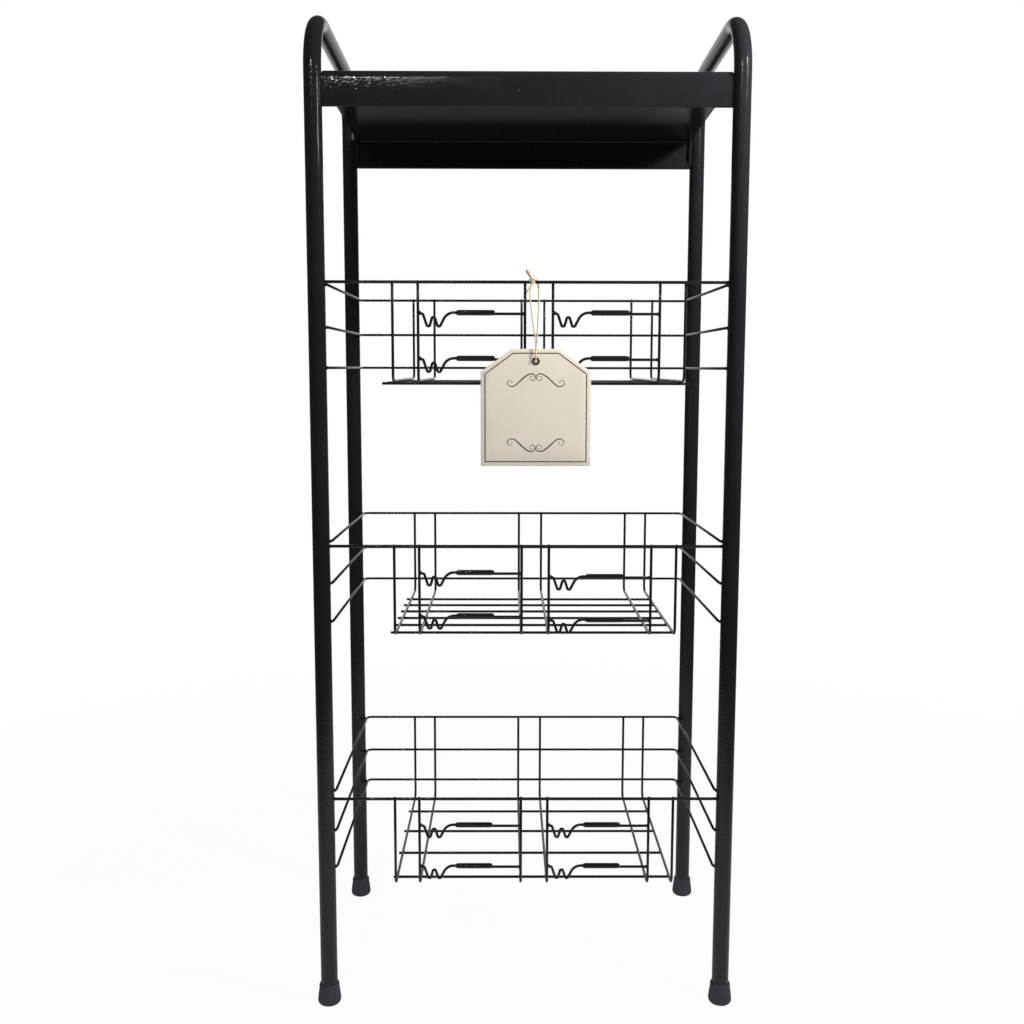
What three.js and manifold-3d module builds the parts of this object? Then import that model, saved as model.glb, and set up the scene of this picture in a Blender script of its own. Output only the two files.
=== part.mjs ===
// A tiered stand for fruit: two bent tube side frames on rubber feet carry a folded sheet tray
// and three wire baskets, and a board tag hangs from the top basket on a loop of twine.
// Millimetres, +Z up, front towards -Y, origin on the floor in the middle of the four feet.
import * as THREE from 'three';
import { mergeVertices } from 'three/addons/utils/BufferGeometryUtils.js';
import loadManifold from 'manifold-3d';

// Gap left between pieces that touch, slide on or are welded to each other
const clearance = 0.3;

// Side frames: leg axes, arch and tube
const legSpacing = 450;
const frameDepth = 265;
const archHeight = 1095;
const archRadius = 60;
const tubeDiameter = 19;
const tubeWall = 1.2;
const tubeSides = 20;
const boreSides = 12;
const archSteps = 8;

// Rubber feet
const footHeight = 24.5;
const footSole = 6;
const footLipWall = 1.5;
const footFlare = 1.9;
const footEdge = 4.5;
const footSides = 16;

// Folded sheet tray
const trayBelowArch = 72.5;
const traySheet = 1.2;
const trayFrontReach = 3;
const lipRise = 11.5;
const lipWidth = 14;
const lipSlope = 12;
const frontSkirt = 38.2;
const rearSkirt = 36;
const frontBend = 9;
const lipBend = 6;
const rearBend = 4;
const hemHeight = 8;
const hemGap = 2.4;
const foldSteps = 4;

// Wires of the baskets
const rimWire = 3.4;
const wire = 3.1;
const wireSides = 8;
const bendSteps = 3;
const ribBend = 8;
const guardBend = 6;
const weldSink = 0.4;

// Front panel of a basket: three pairs of ribs with a wide bay between the pairs
const middlePair = 30;
const endPair = 27.5;
const floorSetback = 24;
const floorSpan = 193;
const floorAside = 2;
const guardLowerGap = 43;

// Scroll wire: two dips beside the left rib, then a sleeve on the straight run
const scrollUpperDrop = 32;
const scrollLowerDrop = 80.6;
const humpAt = 4.2;
const humpDepth = 1;
const firstDipAt = 11.5;
const firstDipDepth = 14.6;
const crestAt = 16.8;
const crestDepth = 4.2;
const secondDipAt = 22;
const secondDipDepth = 13.6;
const riseAt = 28.8;
const riseDepth = 5.2;
const straightAt = 36;
const straightDrop = 1.2;
const scrollSides = 6;
const scrollSteps = 3;
const sleeveAt = 41;
const sleeveLength = 42;
const sleeveDiameter = 6;
const sleeveTaper = 3;
const sleeveEnd = 3.8;

// Baskets: front rim above the ground, top guard wire above the rim and apart from the next,
// ribs below the rim, bays between them, panel to the right of the middle, rise towards the back,
// left scroll wires above the right ones, and floor wires past the end ribs
const lowerRimHeight = 243;
const lowerGuardRise = 10;
const lowerGuardGap = 46.5;
const lowerRibDrop = 102.1;
const lowerBayWidth = 115;
const lowerShift = 9.8;
const lowerRearRise = 0;
const lowerScrollTilt = 0;
const lowerFloorWires = 4;
const lowerFloorOverhang = 3.5;
const middleRimHeight = 531;
const middleGuardRise = 5.5;
const middleGuardGap = 46.5;
const middleRibDrop = 99.8;
const middleBayWidth = 113;
const middleShift = 10;
const middleRearRise = 0;
const middleScrollTilt = 4.4;
const middleFloorWires = 6;
const middleFloorOverhang = 5.5;
const upperRimHeight = 816;
const upperGuardRise = -3;
const upperGuardGap = 45;
const upperRibDrop = 105;
const upperBayWidth = 115;
const upperShift = 12.9;
const upperRearRise = 6;
const upperScrollTilt = 0;
const upperFloorWires = 5;
const upperFloorOverhang = 12.9;

// Hang tag, eyelet and twine
const tagCentre = 9.7;
const tagWidth = 119;
const tagHeight = 126;
const tagClipWidth = 33.5;
const tagClipHeight = 24.5;
const tagThickness = 3;
const tagHang = 83.5;
const eyeletBelowTop = 13;
const eyeletBore = 4.8;
const eyeletWall = 0.7;
const eyeletFlange = 1.1;
const eyeletSheet = 0.5;
const eyeletSides = 12;
const twineDiameter = 1.6;
const twineKnotAside = 3.5;
const twineSides = 8;
const twineSteps = 44;

// Places worked out from the sizes above
const trayHeight = archHeight - trayBelowArch;
const legX = legSpacing / 2;
const legY = frameDepth / 2;
const rimY = -legY;
const ribFrontY = rimY + rimWire / 2 + wire / 2 + clearance;
const guardX = legX - tubeDiameter / 2 - wire / 2 - clearance;
const guardBackY = legY + guardBend;
const ribRearY = guardBackY - wire - clearance;

const baskets = [
  {
    name: 'lower',
    rimHeight: lowerRimHeight,
    guardRise: lowerGuardRise,
    guardGap: lowerGuardGap,
    ribDrop: lowerRibDrop,
    bayWidth: lowerBayWidth,
    shift: lowerShift,
    rearRise: lowerRearRise,
    scrollTilt: lowerScrollTilt,
    floorWires: lowerFloorWires,
    floorOverhang: lowerFloorOverhang,
  },
  {
    name: 'middle',
    rimHeight: middleRimHeight,
    guardRise: middleGuardRise,
    guardGap: middleGuardGap,
    ribDrop: middleRibDrop,
    bayWidth: middleBayWidth,
    shift: middleShift,
    rearRise: middleRearRise,
    scrollTilt: middleScrollTilt,
    floorWires: middleFloorWires,
    floorOverhang: middleFloorOverhang,
  },
  {
    name: 'upper',
    rimHeight: upperRimHeight,
    guardRise: upperGuardRise,
    guardGap: upperGuardGap,
    ribDrop: upperRibDrop,
    bayWidth: upperBayWidth,
    shift: upperShift,
    rearRise: upperRearRise,
    scrollTilt: upperScrollTilt,
    floorWires: upperFloorWires,
    floorOverhang: upperFloorOverhang,
  },
];

// Finishes
const paint = { color: 0x17171b, roughness: 0.28, metalness: 0.0 };
const rubber = { color: 0x141416, roughness: 0.6, metalness: 0.0 };
const board = { color: 0xdfd8cb, roughness: 0.75, metalness: 0.0 };
const bronze = { color: 0x6b5138, roughness: 0.4, metalness: 1.0 };
const jute = { color: 0xd8cbb6, roughness: 0.9, metalness: 0.0 };

const stand = new THREE.Group();
const solids = await loadManifold();
solids.setup();

function addPiece(name, geometry, finish) {
  const mesh = new THREE.Mesh(geometry, new THREE.MeshStandardMaterial(finish));
  mesh.name = name;
  stand.add(mesh);
}

// A path taken station by station, so that a straight run is one step and a bend several
class StationPath extends THREE.Curve {
  constructor(stations) {
    super();
    this.stations = stations;
  }

  getPointAt(u) {
    return this.stations[Math.round(u * (this.stations.length - 1))].clone();
  }

  getTangentAt(u) {
    const last = this.stations.length - 1;
    const index = Math.round(u * last);
    const arriving = this.direction(Math.max(index - 1, 0));
    const leaving = this.direction(Math.min(index, last - 1));
    return arriving.add(leaving).normalize();
  }

  direction(index) {
    return this.stations[index + 1].clone().sub(this.stations[index]).normalize();
  }
}

// Rounds the inner corners of a polyline to bends of the given radii, each in even steps
function roundCorners(corners, radii, steps) {
  const stations = [corners[0]];
  const place = (station) => {
    const previous = stations[stations.length - 1];
    if (previous.distanceTo(station) > 1e-6) stations.push(station);
  };
  radii.forEach((radius, index) => {
    const corner = corners[index + 1];
    const back = corners[index].clone().sub(corner).normalize();
    const ahead = corners[index + 2].clone().sub(corner).normalize();
    const half = back.angleTo(ahead) / 2;
    const sweep = Math.PI - 2 * half;
    const centre = back.clone().add(ahead).normalize().multiplyScalar(radius / Math.sin(half)).add(corner);
    const first = back.multiplyScalar(radius / Math.tan(half)).add(corner).sub(centre);
    const final = ahead.multiplyScalar(radius / Math.tan(half)).add(corner).sub(centre);
    for (let step = 0; step <= steps; step += 1) {
      const turned = (sweep * step) / steps;
      const station = first.clone().multiplyScalar(Math.sin(sweep - turned) / Math.sin(sweep));
      station.addScaledVector(final, Math.sin(turned) / Math.sin(sweep));
      place(station.add(centre));
    }
  });
  place(corners[corners.length - 1]);
  return stations;
}

function ring(radius, sides) {
  const points = [];
  for (let side = 0; side < sides; side += 1) {
    const angle = (2 * Math.PI * (side + 0.5)) / sides;
    points.push(new THREE.Vector2(radius * Math.cos(angle), radius * Math.sin(angle)));
  }
  return points;
}

// A round bar or, with a bore, a tube that follows the stations
function sweep(stations, diameter, sides, bore = 0) {
  const section = new THREE.Shape(ring(diameter / 2, sides));
  if (bore > 0) section.holes.push(new THREE.Path(ring(bore / 2, boreSides)));
  const extrudePath = new StationPath(stations);
  return new THREE.ExtrudeGeometry(section, { steps: stations.length - 1, extrudePath });
}

// Joins overlapping closed geometries into one body
function weld(geometries) {
  const bodies = geometries.map((geometry) => {
    const bare = geometry.clone();
    bare.deleteAttribute('normal');
    bare.deleteAttribute('uv');
    const joined = mergeVertices(bare, 1e-4);
    const vertProperties = new Float32Array(joined.attributes.position.array);
    const triVerts = new Uint32Array(joined.index.array);
    return new solids.Manifold(new solids.Mesh({ numProp: 3, vertProperties, triVerts }));
  });
  const mesh = bodies.reduce((whole, body) => whole.add(body)).getMesh();
  const geometry = new THREE.BufferGeometry();
  geometry.setAttribute('position', new THREE.BufferAttribute(mesh.vertProperties, 3));
  geometry.setIndex(new THREE.BufferAttribute(mesh.triVerts, 1));
  geometry.computeVertexNormals();
  return geometry;
}

function at(x, y, z) {
  return new THREE.Vector3(x, y, z);
}

// Side frames stand in the feet on their soles
function sideFrame(x) {
  const heel = footSole + clearance;
  const corners = [at(x, -legY, heel), at(x, -legY, archHeight), at(x, legY, archHeight), at(x, legY, heel)];
  const stations = roundCorners(corners, [archRadius, archRadius], archSteps);
  return sweep(stations, tubeDiameter, tubeSides, tubeDiameter - 2 * tubeWall);
}

// A foot is a flared rubber cup, turned about its axis
function foot(x, y) {
  const socket = tubeDiameter / 2 + clearance;
  const lip = socket + footLipWall;
  const base = lip + footFlare;
  const profile = [
    [0, 0],
    [base - footEdge, 0],
    [base - footEdge * 0.29, footEdge * 0.29],
    [base, footEdge],
    [base - footFlare * 0.15, footHeight * 0.35],
    [lip, footHeight - footLipWall / 2],
    [lip - footLipWall / 2, footHeight],
    [socket, footHeight],
    [socket, footSole],
    [0, footSole],
  ].map(([radius, height]) => new THREE.Vector2(radius, height));
  return new THREE.LatheGeometry(profile, footSides).rotateX(Math.PI / 2).translate(x, y, 0);
}

// The tray is one sheet folded along a profile, with a raised front lip and hemmed skirts
function tray() {
  const width = legSpacing - tubeDiameter - 2 * clearance;
  const level = trayHeight - traySheet / 2;
  const lipTop = level + lipRise;
  const front = -legY - trayFrontReach + traySheet / 2;
  const rear = legY - traySheet / 2;
  const frontHem = lipTop - frontSkirt + traySheet;
  const rearHem = level - rearSkirt + traySheet;
  const corners = [
    at(front + hemGap, frontHem + hemHeight, 0),
    at(front + hemGap, frontHem, 0),
    at(front, frontHem, 0),
    at(front, lipTop, 0),
    at(front + lipWidth, lipTop, 0),
    at(front + lipWidth + lipSlope, level, 0),
    at(rear, level, 0),
    at(rear, rearHem, 0),
    at(rear - hemGap, rearHem, 0),
    at(rear - hemGap, rearHem + hemHeight, 0),
  ];
  const fold = hemGap / 2;
  const radii = [fold, fold, frontBend, lipBend, lipBend, rearBend, fold, fold];
  const middle = new StationPath(roundCorners(corners, radii, foldSteps));
  const last = middle.stations.length - 1;
  const face = (side) => middle.stations.map((station, index) => {
    const along = middle.getTangentAt(index / last);
    const offset = (side * traySheet) / 2;
    return new THREE.Vector2(station.x - along.y * offset, station.y + along.x * offset);
  });
  const outline = new THREE.Shape([...face(1), ...face(-1).reverse()]);
  const folded = new THREE.ExtrudeGeometry(outline, { depth: width, bevelEnabled: false });
  return folded.rotateX(Math.PI / 2).rotateZ(Math.PI / 2).translate(-width / 2, 0, 0);
}

// Rib places across a basket's panel, from left to right
function ribPlaces(basket) {
  const half = middlePair / 2;
  const outer = half + basket.bayWidth;
  const places = [half, outer, outer + endPair];
  const mirrored = places.map((place) => -place).reverse();
  return [...mirrored, ...places].map((place) => place + basket.shift);
}

// Height of the ribs' floor runs at a depth, which rise towards the back
function floorAt(basket, y) {
  const slope = basket.rearRise / (ribRearY - ribFrontY);
  return basket.rimHeight - basket.ribDrop + slope * (y - ribFrontY);
}

// The front rim runs between the front legs
function frontRim(basket) {
  const end = legX - tubeDiameter / 2 - clearance;
  const height = basket.rimHeight;
  return sweep([at(-end, rimY, height), at(end, rimY, height)], rimWire, wireSides);
}

// A guard wire lies along the legs' inner faces and turns across the back
function guardWire(basket, height) {
  const start = rimY + rimWire / 2 + clearance;
  const rear = height + basket.rearRise;
  const corners = [
    at(-guardX, start, height),
    at(-guardX, guardBackY, rear),
    at(guardX, guardBackY, rear),
    at(guardX, start, height),
  ];
  return sweep(roundCorners(corners, [guardBend, guardBend], bendSteps), wire, wireSides);
}

// A rib hangs behind the front rim, carries the load and rises inside the back guards
function rib(basket, x, sink = 0) {
  const { rimHeight, guardRise, rearRise } = basket;
  const corners = [
    at(x, ribFrontY, rimHeight),
    at(x, ribFrontY, floorAt(basket, ribFrontY) - sink),
    at(x, ribRearY, floorAt(basket, ribRearY) - sink),
    at(x, ribRearY, rimHeight + guardRise + rearRise),
  ];
  return sweep(roundCorners(corners, [ribBend, ribBend], bendSteps), wire, wireSides);
}

// The cradle is the two end ribs with the floor wires welded across under them
function cradle(basket) {
  const { floorWires, floorOverhang } = basket;
  const places = ribPlaces(basket);
  const left = places[0] - floorOverhang - floorAside;
  const right = places[5] + floorOverhang - floorAside;
  const sink = clearance + weldSink;
  const bars = [rib(basket, places[0], sink), rib(basket, places[5], sink)];
  for (let index = 0; index < floorWires; index += 1) {
    const y = ribFrontY + floorSetback + (floorSpan * index) / (floorWires - 1);
    const height = floorAt(basket, y) - wire - clearance;
    bars.push(sweep([at(left, y, height), at(right, y, height)], wire, wireSides));
  }
  return weld(bars);
}

// A sleeve is a short round bar with tapered ends
function sleeve(start, height) {
  const radius = sleeveDiameter / 2;
  const profile = [
    [0, 0],
    [sleeveEnd / 2, 0],
    [radius, sleeveTaper],
    [radius, sleeveLength - sleeveTaper],
    [sleeveEnd / 2, sleeveLength],
    [0, sleeveLength],
  ].map(([r, along]) => new THREE.Vector2(r, along));
  const turned = new THREE.LatheGeometry(profile, wireSides);
  return turned.rotateZ(-Math.PI / 2).translate(start, ribFrontY, height);
}

// A scroll wire dips twice beside the left rib of its bay and runs through its sleeve to the right one
function scrollWire(leftRib, rightRib, height) {
  const start = wire / 2 + clearance;
  const keys = [
    [start, -humpDepth],
    [humpAt, -humpDepth],
    [firstDipAt, -firstDipDepth],
    [crestAt, -crestDepth],
    [secondDipAt, -secondDipDepth],
    [riseAt, -riseDepth],
    [straightAt, 0],
    [sleeveAt, 0],
  ].map(([along, rise]) => at(leftRib + along, ribFrontY, height + rise));
  const curve = new THREE.CatmullRomCurve3(keys, false, 'centripetal');
  const stations = curve.getPoints(scrollSteps * (keys.length - 1));
  stations.push(at(leftRib + sleeveAt + sleeveLength, ribFrontY, height - straightDrop));
  stations.push(at(rightRib - start, ribFrontY, height - straightDrop));
  return weld([sweep(stations, wire, scrollSides), sleeve(leftRib + sleeveAt, height)]);
}

// One basket with all its wires
function addBasket(basket) {
  const { name, rimHeight, guardRise, guardGap, scrollTilt } = basket;
  const guardHeight = rimHeight + guardRise;
  const middleGuard = guardHeight - guardGap;
  addPiece(`${name}_front_rim`, frontRim(basket), paint);
  addPiece(`${name}_guard_top`, guardWire(basket, guardHeight), paint);
  addPiece(`${name}_guard_mid`, guardWire(basket, middleGuard), paint);
  addPiece(`${name}_guard_low`, guardWire(basket, middleGuard - guardLowerGap), paint);
  addPiece(`${name}_cradle`, cradle(basket), paint);
  const places = ribPlaces(basket);
  const innerRibs = places.slice(1, 5);
  innerRibs.forEach((x, index) => addPiece(`${name}_rib_${index + 1}`, rib(basket, x), paint));
  const bays = {
    left: [places[1], places[2], scrollTilt / 2],
    right: [places[3], places[4], -scrollTilt / 2],
  };
  const rows = { high: rimHeight - scrollUpperDrop, low: rimHeight - scrollLowerDrop };
  for (const [side, [leftRib, rightRib, rise]] of Object.entries(bays)) {
    for (const [row, height] of Object.entries(rows)) {
      addPiece(`${name}_scroll_${side}_${row}`, scrollWire(leftRib, rightRib, height + rise), paint);
    }
  }
}

// The tag hangs under the top rim and leans on the ribs
const tagBackY = ribFrontY - wire / 2 - clearance;
const eyeletHeight = upperRimHeight - tagHang;

function hangTag() {
  const top = eyeletHeight + eyeletBelowTop;
  const bottom = top - tagHeight;
  const half = tagWidth / 2;
  const outline = new THREE.Shape([
    new THREE.Vector2(tagCentre - half, bottom),
    new THREE.Vector2(tagCentre + half, bottom),
    new THREE.Vector2(tagCentre + half, top - tagClipHeight),
    new THREE.Vector2(tagCentre + half - tagClipWidth, top),
    new THREE.Vector2(tagCentre - half + tagClipWidth, top),
    new THREE.Vector2(tagCentre - half, top - tagClipHeight),
  ]);
  const seat = eyeletBore / 2 + eyeletWall + clearance;
  const hole = ring(seat, eyeletSides).map((point) => point.add(new THREE.Vector2(tagCentre, eyeletHeight)));
  outline.holes.push(new THREE.Path(hole));
  const panel = new THREE.ExtrudeGeometry(outline, { depth: tagThickness, bevelEnabled: false });
  return panel.rotateX(Math.PI / 2).translate(0, tagBackY, 0);
}

// The eyelet is a flanged barrel through the tag
function eyelet() {
  const bore = eyeletBore / 2;
  const barrel = bore + eyeletWall;
  const flange = barrel + eyeletFlange;
  const inner = tagThickness / 2 + clearance;
  const outer = inner + eyeletSheet;
  const profile = [
    [bore, -outer], [flange, -outer], [flange, -inner], [barrel, -inner],
    [barrel, inner], [flange, inner], [flange, outer], [bore, outer], [bore, -outer],
  ].map(([radius, along]) => new THREE.Vector2(radius, along));
  const turned = new THREE.LatheGeometry(profile, eyeletSides);
  return turned.translate(tagCentre, tagBackY - tagThickness / 2, eyeletHeight);
}

// The twine runs from its upper tail down to the eyelet, back up over the rim and to its lower tail
const twineRoute = [
  [-7.2, -4.0, 12.0], [-3.2, -3.8, 6.0], [0.0, -3.1, 0.2], [-2.4, -2.9, -5.0], [-3.1, -2.9, -14.0],
  [-2.4, -2.9, -24.0], [-1.0, -3.0, -34.0], [0.6, -3.1, -46.0], [2.4, -3.3, -58.0], [3.2, -3.6, -70.0],
  [3.4, -3.6, -81.5], [3.5, 0.1, -83.7], [3.6, 3.8, -81.5], [4.2, 3.6, -70.0], [4.8, 3.2, -58.0],
  [5.6, 3.0, -42.0], [6.3, 3.0, -30.0], [6.6, 3.0, -16.0], [5.9, 3.0, -5.0], [4.8, 3.0, 0.3],
  [3.6, 1.9, 2.4], [3.0, 0.0, 3.1], [2.5, -2.4, 3.3], [0.9, -5.0, 1.0], [-2.6, -5.1, -4.5],
  [-6.8, -4.5, -11.5],
];

function twine() {
  const knotX = tagCentre - twineKnotAside;
  const points = twineRoute.map(([x, y, z]) => at(knotX + x, rimY + y, upperRimHeight + z));
  const curve = new THREE.CatmullRomCurve3(points, false, 'centripetal');
  return sweep(curve.getSpacedPoints(twineSteps), twineDiameter, twineSides);
}

// Assembly
addPiece('side_frame_left', sideFrame(-legX), paint);
addPiece('side_frame_right', sideFrame(legX), paint);
addPiece('top_tray', tray(), paint);
addPiece('foot_front_left', foot(-legX, -legY), rubber);
addPiece('foot_front_right', foot(legX, -legY), rubber);
addPiece('foot_rear_left', foot(-legX, legY), rubber);
addPiece('foot_rear_right', foot(legX, legY), rubber);
baskets.forEach(addBasket);
addPiece('hang_tag', hangTag(), board);
addPiece('tag_eyelet', eyelet(), bronze);
addPiece('tag_twine', twine(), jute);

export default stand;
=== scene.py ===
"""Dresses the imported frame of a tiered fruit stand: tube side frames, a folded tray, wire baskets
with scroll fronts, rubber feet and a tag on twine."""

import bpy
import numpy as np
from mathutils import Matrix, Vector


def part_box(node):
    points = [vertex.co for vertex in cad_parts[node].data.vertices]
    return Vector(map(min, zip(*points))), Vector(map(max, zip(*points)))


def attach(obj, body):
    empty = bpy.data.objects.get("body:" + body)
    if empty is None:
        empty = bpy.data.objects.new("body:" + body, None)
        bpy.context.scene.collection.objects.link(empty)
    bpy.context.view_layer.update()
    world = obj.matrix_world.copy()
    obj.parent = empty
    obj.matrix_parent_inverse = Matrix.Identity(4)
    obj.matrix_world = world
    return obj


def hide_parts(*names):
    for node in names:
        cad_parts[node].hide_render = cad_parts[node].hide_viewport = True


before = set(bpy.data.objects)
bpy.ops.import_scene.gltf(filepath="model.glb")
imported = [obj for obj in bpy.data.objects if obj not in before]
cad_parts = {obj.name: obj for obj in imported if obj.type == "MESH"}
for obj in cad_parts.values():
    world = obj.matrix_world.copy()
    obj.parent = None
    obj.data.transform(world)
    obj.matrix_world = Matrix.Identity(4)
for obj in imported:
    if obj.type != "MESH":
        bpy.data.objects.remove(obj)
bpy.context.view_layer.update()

bl_info = {
    "name": "Tiered fruit stand",
    "version": (1, 0, 0),
    "blender": (4, 5, 0),
    "location": "3D View > Sidebar > Fruit stand",
    "description": "Builds a black painted fruit stand with wire baskets over its packed frame",
    "category": "Object",
}

TIERS = ("lower", "middle", "upper")
LEVELS = ("top", "mid", "low")
SCROLLS = (("left", "high"), ("left", "low"), ("right", "high"), ("right", "low"))
FLOOR_WIRES = {"lower": 4, "middle": 6, "upper": 5}
UP = np.array([0.0, 0.0, 1.0])
RIGHT = np.array([1.0, 0.0, 0.0])
FORWARD = np.array([0.0, -1.0, 0.0])

# All lengths are in metres.

# The twine's route, from its upper tail through the eyelet and back over the rim to its lower tail,
# measured from the knot, which lies a little left of the eyelet.
KNOT_ASIDE = 0.0035
TWINE_ROUTE = np.array([
    [-7.2, -4.0, 12.0], [-3.2, -3.8, 6.0], [0.0, -3.1, 0.2], [-2.4, -2.9, -5.0], [-3.1, -2.9, -14.0],
    [-2.4, -2.9, -24.0], [-1.0, -3.0, -34.0], [0.6, -3.1, -46.0], [2.4, -3.3, -58.0], [3.2, -3.6, -70.0],
    [3.4, -3.6, -81.5], [3.5, 0.1, -83.7], [3.6, 3.8, -81.5], [4.2, 3.6, -70.0], [4.8, 3.2, -58.0],
    [5.6, 3.0, -42.0], [6.3, 3.0, -30.0], [6.6, 3.0, -16.0], [5.9, 3.0, -5.0], [4.8, 3.0, 0.3],
    [3.6, 1.9, 2.4], [3.0, 0.0, 3.1], [2.5, -2.4, 3.3], [0.9, -5.0, 1.0], [-2.6, -5.1, -4.5],
    [-6.8, -4.5, -11.5],
]) / 1000

# The knot's loose ends: how far each stands aside and forward of the upper tail, and its length.
LOOSE_ENDS = np.array([[1.5, 1.0, 12.6], [0.2, 1.5, 14.1], [-1.4, 0.6, 13.2]]) / 1000

# Radii of the tray's folds, from the hem of its front skirt to that of the rear one.
FOLD_RADII = np.array([1.2, 1.2, 9.0, 6.0, 6.0, 2.0, 1.2, 1.2]) / 1000

# A scroll wire's turns from its left rib to its sleeve, right of that rib and above the sleeve's
# axis, the radii of its bends, and how far below that axis it runs on from the sleeve.
SCROLL_TURNS = np.array([
    [1.2, -1.0], [5.4, -1.0], [11.4, -18.9], [16.7, -0.3], [22.2, -17.6], [31.6, 0.4], [41.0, 0.0],
]) / 1000
SCROLL_RADII = np.array([2.4, 1.9, 1.8, 1.9, 12.0]) / 1000
SCROLL_DROP = 0.0012

# Width and height of the tag's clipped upper corners.
TAG_CLIP = (0.0335, 0.0245)

# One half of a flourish on the tag, from its outer curl to its inner one, measured from its middle.
FLOURISH = np.array([
    [-26.8, -3.5], [-25.5, -3.0], [-25.5, -1.4], [-27.7, -0.3], [-30.0, -1.4], [-30.8, -3.7],
    [-29.1, -6.0], [-26.3, -7.0], [-22.6, -6.0], [-17.9, -1.9], [-13.3, 2.3], [-8.6, 5.6], [-4.5, 6.7],
    [-1.2, 5.1], [-0.5, 2.8], [-1.7, 0.5], [-4.0, -0.5], [-6.1, 0.9], [-5.9, 3.3], [-4.0, 4.2],
    [-2.8, 3.0],
]) / 1000


def length(name, description, default):
    """A length property in metres."""
    return bpy.props.FloatProperty(
        name=name, description=description, default=default, min=0.0, precision=5, unit="LENGTH"
    )


def colour(name, description, default):
    """A colour property, linear."""
    return bpy.props.FloatVectorProperty(
        name=name, description=description, default=default, size=3, min=0.0, max=1.0, subtype="COLOR"
    )


class StandSizes(bpy.types.PropertyGroup):
    """Sizes of the stand that a user would change."""

    tube_diameter: length("Tube diameter", "Outer diameter of the side frame tube", 0.019)
    arch_radius: length("Arch radius", "Radius of the side frame's upper bends", 0.06)
    foot_edge: length("Foot edge", "Rounding of a rubber foot's lower edge", 0.0045)
    rim_diameter: length("Rim diameter", "Diameter of a basket's front rim bar", 0.0034)
    wire_diameter: length("Wire diameter", "Diameter of the basket wires", 0.0031)
    rib_bend: length("Rib bend", "Radius of a rib's lower bends", 0.008)
    guard_bend: length("Guard bend", "Radius of a guard wire's rear bends", 0.006)
    end_pair: length("End pair", "Space between the two ribs at each end of a basket", 0.0275)
    floor_setback: length("Floor setback", "First floor wire behind the front of the ribs", 0.024)
    floor_span: length("Floor span", "From the first floor wire to the last one", 0.193)
    sleeve_diameter: length("Sleeve diameter", "Diameter of the sleeve on a scroll wire", 0.006)
    sleeve_length: length("Sleeve length", "Length of the sleeve on a scroll wire", 0.042)
    sleeve_taper: length("Sleeve taper", "Length of the taper at each end of a sleeve", 0.003)
    weld_radius: length("Weld radius", "Size of a weld bead where two wires cross", 0.0019)
    sheet: length("Tray sheet", "Thickness of the folded tray", 0.0012)
    lip_rise: length("Lip rise", "Height of the tray's front lip above its floor", 0.0115)
    lip_width: length("Lip width", "Depth of the flat top of the tray's front lip", 0.014)
    lip_slope: length("Lip slope", "Depth of the slope from the lip down to the tray's floor", 0.012)
    front_skirt: length("Front skirt", "Height of the tray's front skirt", 0.037)
    hem_height: length("Hem height", "Height of the folded hems inside the tray's skirts", 0.008)
    hem_gap: length("Hem gap", "Space between a skirt and its hem", 0.0024)
    twine_diameter: length("Twine diameter", "Diameter of the tag's twine", 0.0016)
    twine_pitch: length("Twine pitch", "Length of one turn of the twine's strands", 0.0052)
    border_inset: length("Border inset", "Printed border inside the tag's edge", 0.0041)
    border_width: length("Border width", "Width of the printed border line", 0.0012)
    flourish_top: length("Upper flourish", "Upper flourish below the tag's upper edge", 0.0333)
    flourish_low: length("Lower flourish", "Lower flourish above the tag's lower edge", 0.0224)
    eyelet_bore: length("Eyelet bore", "Inner diameter of the tag's eyelet", 0.0032)


class StandColours(bpy.types.PropertyGroup):
    """Colours of the stand that a user would change."""

    paint: colour("Paint", "Black gloss paint", (0.009, 0.0088, 0.0108))
    paint_speck: colour("Paint speck", "Pale specks in the paint", (0.02, 0.02, 0.024))
    rubber: colour("Rubber", "Rubber of the feet", (0.031, 0.0295, 0.041))
    rubber_worn: colour("Worn rubber", "Scuffed rubber of the feet", (0.053, 0.052, 0.07))
    board: colour("Board", "Face of the tag", (0.72, 0.665, 0.555))
    board_fibre: colour("Board fibre", "Darker fibres in the tag", (0.6, 0.53, 0.44))
    ink: colour("Ink", "Printed border and flourishes", (0.062, 0.049, 0.035))
    bronze: colour("Bronze", "Metal of the eyelet", (0.2, 0.125, 0.06))
    bronze_dark: colour("Aged bronze", "Dark skin on the eyelet", (0.05, 0.034, 0.02))
    twine: colour("Twine", "Fibres of the twine", (0.64, 0.54, 0.4))
    # The twine's groove colour is painted shade, laid between its strands.
    twine_groove_shade: colour("Twine groove", "Shade between the twine's strands", (0.3, 0.22, 0.14))
    ground: colour("Ground", "Studio floor", (0.78, 0.78, 0.78))


# Paths and surfaces, all as whole arrays


def points(*axes):
    """Points from their coordinates, each a number or an array, along a new last axis."""
    return np.stack(np.broadcast_arrays(*axes), axis=-1)


def unit(vectors):
    """Vectors along the last axis, each divided by its own length."""
    return vectors / np.linalg.norm(vectors, axis=-1, keepdims=True)


def full_turn(sides):
    """Angles evenly spaced round a full turn."""
    return np.linspace(0, 2 * np.pi, sides, endpoint=False)


def step_lengths(path):
    """Lengths of a path's steps."""
    return np.linalg.norm(np.diff(path, axis=0), axis=1)


def distance_along(path):
    """The length of a path up to each of its points."""
    return np.concatenate([[0], np.cumsum(step_lengths(path))])


def directions(path):
    """A path's direction at each point: the sum of the unit steps to and from it, made unit."""
    steps = unit(np.diff(path, axis=0))
    return unit(np.vstack([steps[:1], steps[:-1] + steps[1:], steps[-1:]]))


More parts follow.
